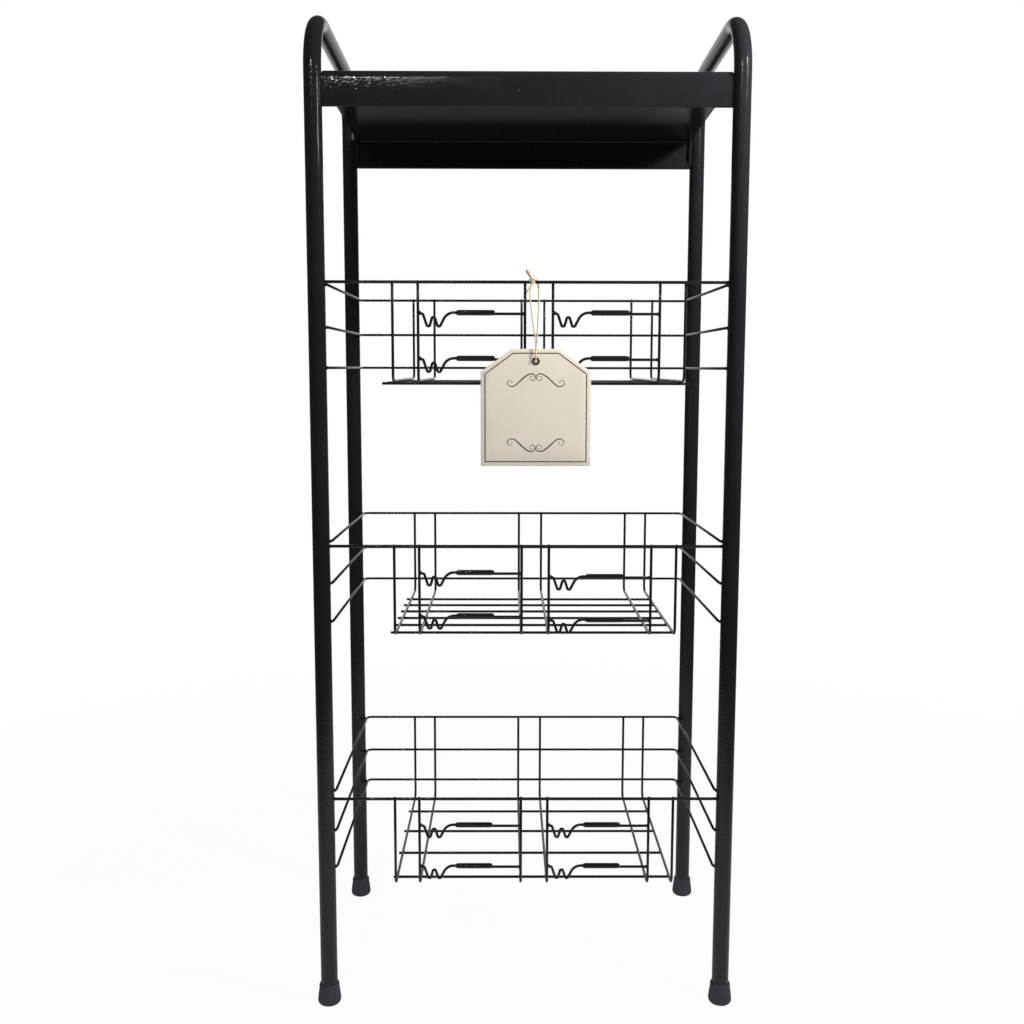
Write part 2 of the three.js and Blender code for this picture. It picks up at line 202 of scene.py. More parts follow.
def bent_path(corners, radii, steps=10):
    """A polyline whose inner corners are arcs. With b and a the unit vectors from a corner c back and
    ahead and h half the angle between them, the arc is about c + r (b + a) / (|b + a| sin h), and its
    points are the first and last spokes mixed by sin((1 - t) s) / sin s and sin(t s) / sin s, for the
    swept angle s = pi - 2 h."""
    corners = np.asarray(corners, float)
    radii = np.broadcast_to(radii, len(corners) - 2)
    parts = [corners[:1]]
    for before, corner, after, radius in zip(corners[:-2], corners[1:-1], corners[2:], radii):
        back, ahead = unit(before - corner), unit(after - corner)
        half = np.arccos(np.clip(back @ ahead, -1, 1)) / 2
        swept = np.pi - 2 * half
        centre = corner + unit(back + ahead) * radius / np.sin(half)
        first = corner + back * radius / np.tan(half) - centre
        last = corner + ahead * radius / np.tan(half) - centre
        t = np.linspace(0, 1, steps + 1)[:, None]
        parts.append(centre + (first * np.sin(swept * (1 - t)) + last * np.sin(swept * t)) / np.sin(swept))
    parts.append(corners[-1:])
    return np.vstack(parts)


def smooth_path(knots, count):
    """A centripetal Catmull-Rom curve through the knots, taken at evenly spaced lengths. On each span
    from p1 to p2 it is the cubic with end tangents from the knots on both sides, weighted by the
    square roots of the distances between them."""
    knots = np.asarray(knots, float)
    p = np.vstack([2 * knots[:1] - knots[1:2], knots, 2 * knots[-1:] - knots[-2:-1]])
    p0, p1, p2, p3 = p[:-3], p[1:-2], p[2:-1], p[3:]
    gap = np.sqrt(step_lengths(p))[:, None]
    d0, d1, d2 = gap[:-2], gap[1:-1], gap[2:]
    m1 = ((p1 - p0) / d0 - (p2 - p0) / (d0 + d1) + (p2 - p1) / d1) * d1
    m2 = ((p2 - p1) / d1 - (p3 - p1) / (d1 + d2) + (p3 - p2) / d2) * d1
    t = np.linspace(0, 1, 25)[:-1, None, None]
    cubic = p1 + m1 * t + (3 * (p2 - p1) - 2 * m1 - m2) * t**2 + (2 * (p1 - p2) + m1 + m2) * t**3
    dense = np.vstack([cubic.transpose(1, 0, 2).reshape(-1, p.shape[1]), knots[-1:]])
    along = distance_along(dense)
    even = np.linspace(0, along[-1], count)
    return np.stack([np.interp(even, along, axis) for axis in dense.T], axis=1)


def domed(path, radius, height):
    """A path and its radii with both ends rounded: near an end the radius is r cos a and the distance
    from the end h (1 - sin a), for the angle a from 80 degrees down to 0."""
    angle = np.radians([80.0, 55.0, 28.0, 0.0])
    reach = height * (1 - np.sin(angle))[:, None]
    start = path[0] + unit(path[1] - path[0]) * reach
    end = path[-1] + unit(path[-2] - path[-1]) * reach
    radii = np.concatenate([np.cos(angle), np.ones(len(path) - 2), np.cos(angle)[::-1]]) * radius
    return np.vstack([start, path[1:-1], end[::-1]]), radii


def carried(path, offsets, across):
    """A section carried along a path: P(u, v) = C(u) + a(u, v) N(u) + b(u, v) B(u), where N is the part
    of the across vector square to the path's direction T, and B = T x N."""
    tangent = directions(path)
    normal = unit(across - (tangent @ across)[:, None] * tangent)
    beside = np.cross(tangent, normal)
    return path[:, None] + offsets[..., :1] * normal[:, None] + offsets[..., 1:] * beside[:, None]


def circle(radii, sides):
    """Ring offsets r(u) (cos v, sin v), one row for each radius."""
    angle = full_turn(sides)
    return np.asarray(radii)[:, None, None] * points(np.cos(angle), np.sin(angle))


def wire_grid(path, diameter, across, sides=14):
    """A round wire with domed ends along a path."""
    path, radii = domed(np.asarray(path, float), diameter / 2, diameter * 0.22)
    return carried(path, circle(radii, sides), across)


def turned(profile, centre, axis, across, sides):
    """A profile of radii r and heights h turned about an axis A: P(u, v) = c + r (cos v N + sin v B) +
    h A, with N the across vector and B = A x N. An outer face runs up the axis."""
    profile = np.asarray(profile, float)
    angle = full_turn(sides)
    spoke = np.cos(angle)[:, None] * across + np.sin(angle)[:, None] * np.cross(axis, across)
    return centre + profile[:, None, :1] * spoke + profile[:, None, 1:] * axis


def arc(centre, radius, first, last, steps):
    """Points of a circular arc between two angles in degrees."""
    angle = np.radians(np.linspace(first, last, steps + 1))
    return np.asarray(centre) + radius * points(np.cos(angle), np.sin(angle))


class Shape:
    """Closed surfaces gathered as whole arrays, to become one mesh."""

    def __init__(self):
        self.points, self.faces, self.count = [], [], 0

    def add(self, grid, wrap_rows=False, caps=True):
        """Adds a grid of points, rows by columns, or a stack of them. The columns close on themselves,
        and the rows either do too or end in caps."""
        grid = np.asarray(grid, float)
        grids = grid[None] if grid.ndim == 3 else grid
        number = np.arange(grids[..., 0].size).reshape(grids.shape[:-1]) + self.count
        rows = np.concatenate([number, number[:, :1]], axis=1) if wrap_rows else number
        here, there = rows[:, :-1], rows[:, 1:]
        quads = np.stack([here, np.roll(here, -1, 2), np.roll(there, -1, 2), there], axis=-1)
        self.faces.append(quads.reshape(-1, 4))
        if caps and not wrap_rows:
            self.faces += [number[:, 0, ::-1], number[:, -1]]
        self.points.append(grids.reshape(-1, 3))
        self.count += grids[..., 0].size
        return self

    def mesh(self, name, attributes=None, sharp=40.0):
        """The mesh of all the surfaces, smooth except at edges sharper than the given degrees."""
        vertices = np.vstack(self.points)
        loops = np.concatenate([face.ravel() for face in self.faces])
        sides = np.concatenate([np.full(len(face), face.shape[1]) for face in self.faces])
        mesh = bpy.data.meshes.new(name)
        mesh.vertices.add(len(vertices))
        mesh.vertices.foreach_set("co", vertices.ravel())
        mesh.loops.add(len(loops))
        mesh.loops.foreach_set("vertex_index", loops.astype(np.int32))
        mesh.polygons.add(len(sides))
        mesh.polygons.foreach_set("loop_start", (np.cumsum(sides) - sides).astype(np.int32))
        mesh.update(calc_edges=True)
        mesh.shade_smooth()
        mesh.set_sharp_from_angle(angle=np.radians(sharp))
        for key, values in (attributes or {}).items():
            layer = mesh.attributes.new(key, "FLOAT", "POINT")
            layer.data.foreach_set("value", np.asarray(values, np.float32).ravel())
        return mesh


def add_object(name, data):
    """A new object in the scene."""
    made = bpy.data.objects.new(name, data)
    bpy.context.scene.collection.objects.link(made)
    return made


def place(name, mesh, material, body, slot, *nodes):
    """Puts a mesh in the scene as a piece that rides a body and stands for CAD nodes, if any."""
    piece = add_object(name, mesh)
    mesh.materials.append(material)
    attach(piece, body)
    if nodes:
        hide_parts(*nodes)
    return piece


# Places read from the frame


def span(node):
    """Lowest and highest corner of a CAD node as arrays."""
    low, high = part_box(node)
    return np.array(low), np.array(high)


def middle(node):
    """Middle of a CAD node's box."""
    low, high = span(node)
    return (low + high) / 2


def wire_reach(sizes):
    """How far an eight sided wire of the frame reaches from its axis."""
    return sizes.wire_diameter / 2 * np.cos(np.pi / 8)


def rib_places(tier, sizes):
    """X of a basket's six ribs, from left to right."""
    inner = [middle(f"{tier}_rib_{number}")[0] for number in range(1, 5)]
    return np.array([inner[0] - sizes.end_pair, *inner, inner[-1] + sizes.end_pair])


def rear_rise(tier, sizes):
    """How much higher a basket is at its back than at its front."""
    low, high = span(f"{tier}_guard_top")
    return high[2] - low[2] - 2 * wire_reach(sizes)


def floor_height(tier, y, sizes):
    """Height of the ribs' floor runs at a depth."""
    low, high = span(f"{tier}_rib_1")
    reach = wire_reach(sizes)
    part = (np.asarray(y) - low[1] - reach) / (high[1] - low[1] - 2 * reach)
    return low[2] + reach + rear_rise(tier, sizes) * part


def rib_path(tier, x, sizes):
    """Centreline of a rib: down behind the rim, back along the floor and up inside the guards."""
    low, high = span(f"{tier}_rib_1")
    reach = wire_reach(sizes)
    front, rear = low[1] + reach, high[1] - reach
    top = middle(f"{tier}_front_rim")[2]
    back = span(f"{tier}_guard_top")[1][2] - reach
    corners = [
        [x, front, top],
        [x, front, floor_height(tier, front, sizes)],
        [x, rear, floor_height(tier, rear, sizes)],
        [x, rear, back],
    ]
    return bent_path(corners, sizes.rib_bend)


def floor_wire_ends(tier, sizes):
    """Ends of a basket's floor wires, which lie under the ribs: an array of pairs of points."""
    low, high = span(f"{tier}_cradle")
    front = span(f"{tier}_rib_1")[0][1] + wire_reach(sizes)
    y = front + sizes.floor_setback + np.linspace(0, sizes.floor_span, FLOOR_WIRES[tier])
    z = floor_height(tier, y, sizes) - sizes.wire_diameter
    return np.stack([points(low[0], y, z), points(high[0], y, z)], axis=1)


def guard_path(tier, level, sizes):
    """Centreline of a guard wire: along the left legs, across the back and along the right legs."""
    low, high = span(f"{tier}_guard_{level}")
    reach = wire_reach(sizes)
    side, start, back = high[0] - reach, low[1], high[1] - reach
    front, rear = low[2] + reach, high[2] - reach
    corners = [[-side, start, front], [-side, back, rear], [side, back, rear], [side, start, front]]
    return bent_path(corners, sizes.guard_bend)


def scroll_line(tier, side, row, sizes):
    """Ends and height of a scroll wire: X of both ends, Y and the height of its sleeve."""
    low, high = span(f"{tier}_scroll_{side}_{row}")
    return low[0], high[0], (low[1] + high[1]) / 2, high[2] - sizes.sleeve_diameter / 2


# Finishes


def add_node(tree, kind, inputs=None, **options):
    """A node of a kind with its options and the values of its named or numbered inputs."""
    made = tree.nodes.new(kind)
    for key, value in options.items():
        setattr(made, key, value)
    for key, value in (inputs or {}).items():
        made.inputs[key].default_value = value
    return made


def feed(tree, sockets, values):
    """Gives each socket a value: a link where that is a socket too, else a number or colour of its own."""
    for socket, value in zip(sockets, values):
        if isinstance(value, bpy.types.NodeSocket):
            tree.links.new(value, socket)
        else:
            socket.default_value = (*value, 1.0) if socket.type == "RGBA" else value


def mix_colours(tree, fac, first, second):
    """A colour mix. Each of the three is a socket or a value."""
    made = add_node(tree, "ShaderNodeMix", data_type="RGBA")
    feed(tree, (made.inputs[0], made.inputs[6], made.inputs[7]), (fac, first, second))
    return made.outputs[2]


def remap(tree, value, low, high, out_low, out_high):
    """A value taken smoothly from one range to another, and kept in it."""
    ranges = {1: low, 2: high, 3: out_low, 4: out_high}
    made = add_node(tree, "ShaderNodeMapRange", ranges, interpolation_type="SMOOTHSTEP")
    tree.links.new(value, made.inputs[0])
    return made.outputs[0]


def combine(tree, operation, first, second):
    """Two values joined by one operation. Each is a socket or a number."""
    made = add_node(tree, "ShaderNodeMath", operation=operation)
    feed(tree, made.inputs, (first, second))
    return made.outputs[0]


def new_group(name, inputs, outputs):
    """An empty shader node group with named sockets, and its input and output nodes."""
    tree = bpy.data.node_groups.new(name, "ShaderNodeTree")
    for in_out, sockets in (("INPUT", inputs), ("OUTPUT", outputs)):
        for label, kind in sockets.items():
            tree.interface.new_socket(name=label, in_out=in_out, socket_type=f"NodeSocket{kind}")
    return tree, tree.nodes.new("NodeGroupInput"), tree.nodes.new("NodeGroupOutput")


def paint_skin_group():
    """Sprayed paint: broad drifts of tone and gloss, fine orange peel, and specks of dust in it."""
    tree, entry, leave = new_group(
        "painted_skin",
        {"Vector": "Vector", "Paint": "Color", "Speck": "Color"},
        {"Color": "Color", "Roughness": "Float", "Height": "Float"},
    )
    link = tree.links.new
    drift = add_node(tree, "ShaderNodeTexNoise", {"Scale": 9.0, "Detail": 4.0, "Roughness": 0.6})
    peel = add_node(tree, "ShaderNodeTexNoise", {"Scale": 430.0, "Detail": 1.0, "Roughness": 0.4})
    fine = add_node(tree, "ShaderNodeTexNoise", {"Scale": 2100.0, "Detail": 1.0})
    specks = add_node(tree, "ShaderNodeTexVoronoi", {"Scale": 310.0, "Randomness": 1.0})
    for texture in (drift, peel, fine, specks):
        link(entry.outputs["Vector"], texture.inputs["Vector"])
    dust = remap(tree, specks.outputs["Distance"], 0.06, 0.16, 1.0, 0.0)
    tone = remap(tree, drift.outputs["Fac"], 0.3, 0.7, 0.0, 0.22)
    base = mix_colours(tree, tone, entry.outputs["Paint"], entry.outputs["Speck"])
    dusty = combine(tree, "MULTIPLY", dust, 0.55)
    link(mix_colours(tree, dusty, base, entry.outputs["Speck"]), leave.inputs["Color"])
    gloss = remap(tree, drift.outputs["Fac"], 0.25, 0.75, 0.05, 0.085)
    grit = combine(tree, "MULTIPLY", fine.outputs["Fac"], 0.03)
    link(combine(tree, "ADD", gloss, grit), leave.inputs["Roughness"])
    ripple = combine(tree, "MULTIPLY", fine.outputs["Fac"], 0.12)
    bumps = combine(tree, "ADD", peel.outputs["Fac"], ripple)
    link(combine(tree, "ADD", bumps, combine(tree, "MULTIPLY", dust, 1.6)), leave.inputs["Height"])
    return tree


def fine_grain_group():
    """Fine fibre or grain: two noises, the second stretched along an axis by the given amounts."""
    tree, entry, leave = new_group(
        "fine_grain",
        {"Vector": "Vector", "Scale": "Float", "Stretch": "Vector", "Light": "Color", "Dark": "Color"},
        {"Color": "Color", "Mask": "Float", "Height": "Float"},
    )
    link = tree.links.new
    grain = add_node(tree, "ShaderNodeTexNoise", {"Detail": 5.0, "Roughness": 0.65})
    strands = add_node(tree, "ShaderNodeTexNoise", {"Detail": 3.0, "Roughness": 0.6})
    stretched = add_node(tree, "ShaderNodeVectorMath", operation="MULTIPLY")
    link(entry.outputs["Vector"], stretched.inputs[0])
    link(entry.outputs["Stretch"], stretched.inputs[1])
    link(stretched.outputs[0], strands.inputs["Vector"])
    link(entry.outputs["Vector"], grain.inputs["Vector"])
    for texture in (grain, strands):
        link(entry.outputs["Scale"], texture.inputs["Scale"])
    both = combine(tree, "ADD", grain.outputs["Fac"], strands.outputs["Fac"])
    mask = remap(tree, both, 0.72, 1.28, 0.0, 1.0)
    link(mix_colours(tree, mask, entry.outputs["Light"], entry.outputs["Dark"]), leave.inputs["Color"])
    link(mask, leave.inputs["Mask"])
    link(both, leave.inputs["Height"])
    return tree


def new_material(name, specular):
    """A material, its tree, its Principled shader with a specular level, and its object coordinates."""
    material = bpy.data.materials.new(name)
    material.use_nodes = True
    tree = material.node_tree
    shader = tree.nodes["Principled BSDF"]
    shader.inputs["Specular IOR Level"].default_value = specular
    return material, tree, shader, tree.nodes.new("ShaderNodeTexCoord").outputs["Object"]


def use_group(tree, group, coords, values):
    """A node group in a material with its own values, on the given coordinates."""
    made = tree.nodes.new("ShaderNodeGroup")
    made.node_tree = group
    tree.links.new(coords, made.inputs["Vector"])
    feed(tree, [made.inputs[key] for key in values], values.values())
    return made


def bump(tree, shader, height, strength, distance):
    """A bump from a height to the shader's normal."""
    made = add_node(tree, "ShaderNodeBump", {"Strength": strength, "Distance": distance})
    tree.links.new(height, made.inputs["Height"])
    tree.links.new(made.outputs["Normal"], shader.inputs["Normal"])


def lay_grain(tree, shader, coords, values, roughness, relief):
    """Fine grain on a shader: its colour, its roughness between two values by the grain's mask, and a
    bump of a strength and distance. Returns the grain's node."""
    group = bpy.data.node_groups.get("fine_grain") or fine_grain_group()
    grain = use_group(tree, group, coords, dict(zip(("Scale", "Stretch", "Light", "Dark"), values)))
    tree.links.new(grain.outputs["Color"], shader.inputs["Base Color"])
    tree.links.new(remap(tree, grain.outputs["Mask"], 0.0, 1.0, *roughness), shader.inputs["Roughness"])
    bump(tree, shader, grain.outputs["Height"], *relief)
    return grain


def paint_material(name, colours):
    """Black sprayed paint with orange peel."""
    material, tree, shader, coords = new_material(name, 0.42)
    group = bpy.data.node_groups.get("painted_skin") or paint_skin_group()
    skin = use_group(tree, group, coords, {"Paint": colours.paint, "Speck": colours.paint_speck})
    tree.links.new(skin.outputs["Color"], shader.inputs["Base Color"])
    tree.links.new(skin.outputs["Roughness"], shader.inputs["Roughness"])
    bump(tree, shader, skin.outputs["Height"], 0.24, 0.0008)
    return material


def rubber_material(name, colours):
    """Moulded rubber, dull, with scuffs."""
    material, tree, shader, coords = new_material(name, 0.35)
    values = (240.0, (1.0, 1.0, 0.3), colours.rubber, colours.rubber_worn)
    lay_grain(tree, shader, coords, values, (0.5, 0.72), (0.25, 0.0004))
    return material


def board_material(name, colours):
    """Cream card with fine fibres and broad, faint stains."""
    material, tree, shader, coords = new_material(name, 0.25)
    pale = tuple(0.9 * light + 0.1 * dark for light, dark in zip(colours.board, colours.board_fibre))
    values = (320.0, (0.25, 1.0, 1.0), colours.board, pale)
    grain = lay_grain(tree, shader, coords, values, (0.62, 0.8), (0.12, 0.0003))
    stain = add_node(tree, "ShaderNodeTexNoise", {"Scale": 22.0, "Detail": 3.0, "Roughness": 0.5})
    tree.links.new(coords, stain.inputs["Vector"])
    faint = remap(tree, stain.outputs["Fac"], 0.35, 0.75, 0.0, 0.22)
    tinted = mix_colours(tree, faint, grain.outputs["Color"], colours.board_fibre)
    tree.links.new(tinted, shader.inputs["Base Color"])
    return material


def ink_material(name, colours):
    """Brown printing ink, thinner where the card's fibres show through."""
    material, tree, shader, coords = new_material(name, 0.2)
    thin = tuple(0.92 * ink + 0.08 * card for ink, card in zip(colours.ink, colours.board))
    values = (700.0, (1.0, 1.0, 1.0), colours.ink, thin)
    lay_grain(tree, shader, coords, values, (0.6, 0.78), (0.1, 0.0002))
    return material


def bronze_material(name, colours):
    """Aged bronze: dark skin over brown metal."""
    material, tree, shader, coords = new_material(name, 0.5)
    values = (900.0, (1.0, 1.0, 1.0), colours.bronze, colours.bronze_dark)
    grain = lay_grain(tree, shader, coords, values, (0.32, 0.58), (0.15, 0.0002))
    tree.links.new(remap(tree, grain.outputs["Mask"], 0.0, 1.0, 1.0, 0.55), shader.inputs["Metallic"])
    return material


def twine_material(name, colours):
    """Spun fibre with random grain, and painted shade darkening the grooves between its strands."""
    material, tree, shader, coords = new_material(name, 0.15)
    light = tuple(min(1.0, 1.18 * value) for value in colours.twine)
    values = (2400.0, (1.0, 1.0, 0.25), light, colours.twine)
    grain = lay_grain(tree, shader, coords, values, (0.78, 0.95), (0.35, 0.0002))
    # The groove value mixes in the groove colour: painted shade between the strands.
    groove = add_node(tree, "ShaderNodeAttribute", attribute_name="groove")
    shade = combine(tree, "MULTIPLY", groove.outputs["Fac"], 0.75)
    shaded = mix_colours(tree, shade, grain.outputs["Color"], colours.twine_groove_shade)
    tree.links.new(shaded, shader.inputs["Base Color"])
    return material


FINISHES = {
    "gloss_black_paint": paint_material,
    "moulded_rubber": rubber_material,
    "cream_board": board_material,
    "brown_ink": ink_material,
    "aged_bronze": bronze_material,
    "spun_twine": twine_material,
}


def finish_material(name, colours):
    """One of the stand's finishes, made at its first use and shared after that."""
    return bpy.data.materials.get(name) or FINISHES[name](name, colours)


# Operators


def settings(context):
    """The sizes and colours that hang on the scene."""
    return context.scene.stand_sizes, context.scene.stand_colours


def place_painted(name, shape, colours, *nodes, sharp=40.0):
    """A painted steel piece of the stand, which stands for CAD nodes, if any."""
    paint = finish_material("gloss_black_paint", colours)
    place(name, shape.mesh(name, sharp=sharp), paint, "stand", "black_paint", *nodes)


def standing(right, up, back, at):
    """A world matrix from three axes and a place."""
    matrix = np.eye(4)
    matrix[:3] = np.stack([right, up, back, at], axis=1)
    return Matrix(matrix)


def aim(name, at, target, energy, width, height):
    """A rectangular area light at a place, turned towards a target."""
    light = bpy.data.lights.new(name, "AREA")
    light.energy = energy
    light.shape = "RECTANGLE"
    light.size, light.size_y = width, height
    back = unit(np.array(at) - np.array(target))
    right = unit(np.cross(UP, back))
    lamp = add_object(name, light)
    lamp.matrix_world = standing(right, np.cross(back, right), back, at)
    return lamp


class STAND_OT_stage(bpy.types.Operator):
    """Sets the camera, the lights, the pale floor and the white surroundings"""

    bl_idname = "stand.stage"
    bl_label = "Stage"

    def execute(self, context):
        self.camera(context.scene)
        self.lights()
        self.surroundings(context.scene)
        self.floor(context.scene.stand_colours)
        context.scene.view_settings.view_transform = "Standard"
        return {"FINISHED"}

    def camera(self, scene):
        """The camera stands a little left of the middle and looks slightly down."""
        pitch, yaw, roll = np.radians([6.497, -0.306, 0.092])
        level = np.array([np.cos(yaw), np.sin(yaw), 0.0])
        ahead = np.array([-np.sin(yaw) * np.cos(pitch), np.cos(yaw) * np.cos(pitch), -np.sin(pitch)])
        above = np.cross(level, ahead)
        right = np.cos(roll) * level + np.sin(roll) * above
        up = np.cos(roll) * above - np.sin(roll) * level
        lens = bpy.data.cameras.new("photo_camera")
        lens.sensor_width = 36.0
        lens.lens = 37.188
        lens.clip_end = 60.0
        scene.camera = add_object("photo_camera", lens)
        scene.camera.matrix_world = standing(right, up, -ahead, (-0.0219, -1.2824, 0.6999))

    def lights(self):
        """Two soft lamps, in front and near the right side, that leave no highlight, and two small ones
        that leave a glint: a wide one behind and above the camera and one by the upper right corner."""
        corner, chest = (0.55, -0.4, 1.236), (0.0, 0.0, 0.85)
        aim("front_lamp", (-0.5, -1.9, 2.3), (0.0, 0.0, 0.75), 6.0, 0.3, 0.3).visible_glossy = False
        aim("right_lamp", corner, chest, 4.6, 0.2, 0.2).visible_glossy = False
        aim("camera_glint", (-0.43, -1.94, 1.92), (0.0, 0.0, 0.8), 4.4, 0.2, 0.05)
        aim("right_glint", corner, chest, 6.0, 0.12, 0.04)

    def surroundings(self, scene):
        """White to the camera. In reflections it is bright behind the stand and dim elsewhere."""
        world = bpy.data.worlds.new("white_studio")
        world.use_nodes = True
        scene.world = world
        tree = world.node_tree
        split = tree.nodes.new("ShaderNodeSeparateXYZ")
        tree.links.new(tree.nodes.new("ShaderNodeTexCoord").outputs["Generated"], split.inputs[0])
        x, y, z = split.outputs
        low = remap(tree, combine(tree, "ABSOLUTE", x, 0.0), 0.1, 0.3, 0.12, 0.8)
        wall = combine(tree, "MAXIMUM", low, remap(tree, z, -0.1, 0.04, 0.0, 1.0))
        behind = combine(tree, "MULTIPLY", wall, remap(tree, y, 0.78, 0.95, 0.0, 0.9))
        mirrored = combine(tree, "MAXIMUM", behind, 0.07)
        rays = tree.nodes.new("ShaderNodeLightPath")
        soft = mix_colours(tree, rays.outputs["Is Glossy Ray"], (0.33, 0.33, 0.33), mirrored)
        seen = combine(tree, "MAXIMUM", rays.outputs["Is Camera Ray"], rays.outputs["Is Transmission Ray"])
        shown = mix_colours(tree, seen, soft, (1.0, 1.0, 1.0))
        tree.links.new(shown, tree.nodes["Background"].inputs["Color"])

    def floor(self, colours):
        """A pale disc that fades out into the white, lifted towards white for the camera but keeping a
        soft shadow."""
        sides = 64
        radii = np.concatenate([[0.02], np.linspace(0.25, 2.0, 8)])
        grid = np.zeros((len(radii), sides, 3))
        grid[..., :2] = circle(radii, sides)
        shape = Shape().add(grid[::-1], caps=False)
        shape.faces.append(np.arange(sides)[None] + sides * (len(radii) - 1))
        mesh = shape.mesh("studio_floor")
        floor = add_object("studio_floor", mesh)
        material, tree, shader, coords = new_material("pale_floor", 0.1)
        shader.inputs["Base Color"].default_value = (*colours.ground, 1.0)
        shader.inputs["Roughness"].default_value = 0.9
        glow = add_node(tree, "ShaderNodeEmission", {"Color": (1.0, 1.0, 1.0, 1.0), "Strength": 1.0})
        clear = tree.nodes.new("ShaderNodeBsdfTransparent")
        rays = tree.nodes.new("ShaderNodeLightPath")
        far = add_node(tree, "ShaderNodeVectorMath", operation="LENGTH")
        tree.links.new(coords, far.inputs[0])
        lift = combine(tree, "MULTIPLY", rays.outputs["Is Camera Ray"], 0.96)
        fade = remap(tree, far.outputs["Value"], 0.55, 1.6, 0.0, 1.0)
        lifted, faded = (tree.nodes.new("ShaderNodeMixShader") for _ in range(2))
        feed(tree, lifted.inputs, (lift, shader.outputs[0], glow.outputs[0]))
        feed(tree, faded.inputs, (fade, lifted.outputs[0], clear.outputs[0]))
        tree.links.new(faded.outputs[0], tree.nodes["Material Output"].inputs["Surface"])
        mesh.materials.append(material)


def spun(path, diameter, pitch, across, closed=False):
    """A twine of three strands: its section r (0.8 + 0.2 |cos(3 (v - w) / 2)|) turns by w = 2 pi s / p
    with the length s along the path. The groove value is 1 between two strands and 0 on top of one;
    the twine's material darkens its colour by it, as painted shade in the grooves."""
    along = distance_along(path)
    angle = full_turn(18)
    phase = 1.5 * (angle[None] - 2 * np.pi * along[:, None] / pitch)
    crest = np.abs(np.cos(phase))
    radius = diameter / 2 * (0.8 + 0.2 * crest)
    if not closed:
        radius *= np.sqrt(np.clip(np.minimum(along, along[-1] - along) / diameter + 0.12, 0, 1))[:, None]
    offsets = points(radius * np.cos(angle), radius * np.sin(angle))
    return carried(path, offsets, across), (1 - crest).ravel()


class STAND_OT_twine(bpy.types.Operator):
    """Spins the twine that holds the tag, with its knot and tails"""

    bl_idname = "stand.twine"
    bl_label = "Twine"

    def execute(self, context):
        sizes, colours = settings(context)
        finish = finish_material("spun_twine", colours)
        rim = middle("upper_front_rim")
        knot_at = np.array([middle("tag_eyelet")[0] - KNOT_ASIDE, rim[1], rim[2]])
        route = smooth_path(knot_at + TWINE_ROUTE, 640)
        grid, groove = spun(route, sizes.twine_diameter, sizes.twine_pitch, RIGHT)
        mesh = Shape().add(grid).mesh("twine_loop", {"groove": groove}, sharp=180.0)
        twine = place("twine_loop", mesh, finish, "hanging_tag", "twine", "tag_twine")
        knot = self.knot(knot_at, sizes, finish)
        return {"FINISHED"}

    def knot(self, centre, sizes, finish):
        """A trefoil wound round the strands: x = sin t + 2 sin 2t, y = cos t - 2 cos 2t, z = -sin 3t,
        drawn out along the upper tail. Three loose ends lie beside that tail and spread a little."""
        t = np.linspace(0, 2 * np.pi, 181)[:, None]
        lean = np.array([-0.515, 0.0, 0.857])
        square = np.cross(lean, FORWARD)
        girth, draw = 0.0009, 0.0013
        wound = centre + np.array([-0.0006, -0.0038, 0.0012]) + (
            girth * (np.sin(t) + 2 * np.sin(2 * t)) * square
            + girth * np.sin(3 * t) * FORWARD
            + draw * (np.cos(t) - 2 * np.cos(2 * t)) * lean
        )
        paths = [(wound, True)]
        reach = np.linspace(0, 1, 6)[:, None]
        root = centre + np.array([0.0, -0.0042, 0.0012])
        for aside, forward, full in LOOSE_ENDS:
            spread = (0.35 + 0.65 * reach) * aside * square + np.sqrt(reach) * forward * FORWARD
            paths.append((smooth_path(root + reach * full * lean + spread, 90), False))
        shape, grooves = Shape(), []
        for path, closed in paths:
            across = FORWARD if closed else RIGHT
            grid, groove = spun(path, sizes.twine_diameter, sizes.twine_pitch, across, closed)
            shape.add(grid)
            grooves.append(groove)
        mesh = shape.mesh("twine_knot", {"groove": np.concatenate(grooves)}, sharp=180.0)
        return place("twine_knot", mesh, finish, "hanging_tag", "twine")


class STAND_OT_side_frames(bpy.types.Operator):
    """Bends the two tube side frames"""

    bl_idname = "stand.side_frames"
    bl_label = "Side frames"

    def execute(self, context):
        sizes, colours = settings(context)
        radius = sizes.tube_diameter / 2
        # The frame's tube has twenty flat sides, so its box reaches a little less than its radius.
        reach = radius * 0.988
        for side in ("left", "right"):
            low, high = span(f"side_frame_{side}")
            x = (low[0] + high[0]) / 2
            front, rear, top = low[1] + reach, high[1] - reach, high[2] - radius
            corners = [[x, front, low[2]], [x, front, top], [x, rear, top], [x, rear, low[2]]]
            path = bent_path(corners, sizes.arch_radius, 28)
            shape = Shape().add(self.tube(path, radius, sizes.arch_radius))
            place_painted(f"bent_tube_{side}", shape, colours, f"side_frame_{side}")
        return {"FINISHED"}

    def tube(self, path, radius, bend):
        """A round tube, drawn slightly oval in its bends: in the plane of the bend the radius is
        r (1 - 0.03 q), where q is the share of the full curvature 1 / bend at that point."""
        turning = step_lengths(directions(path)) / step_lengths(path)
        share = np.clip(np.concatenate([[0], turning]) * bend, 0, 1)
        offsets = circle(np.full(len(path), radius), 48)
        offsets[..., 1] *= (1 - 0.03 * share)[:, None]
        return carried(path, offsets, RIGHT)


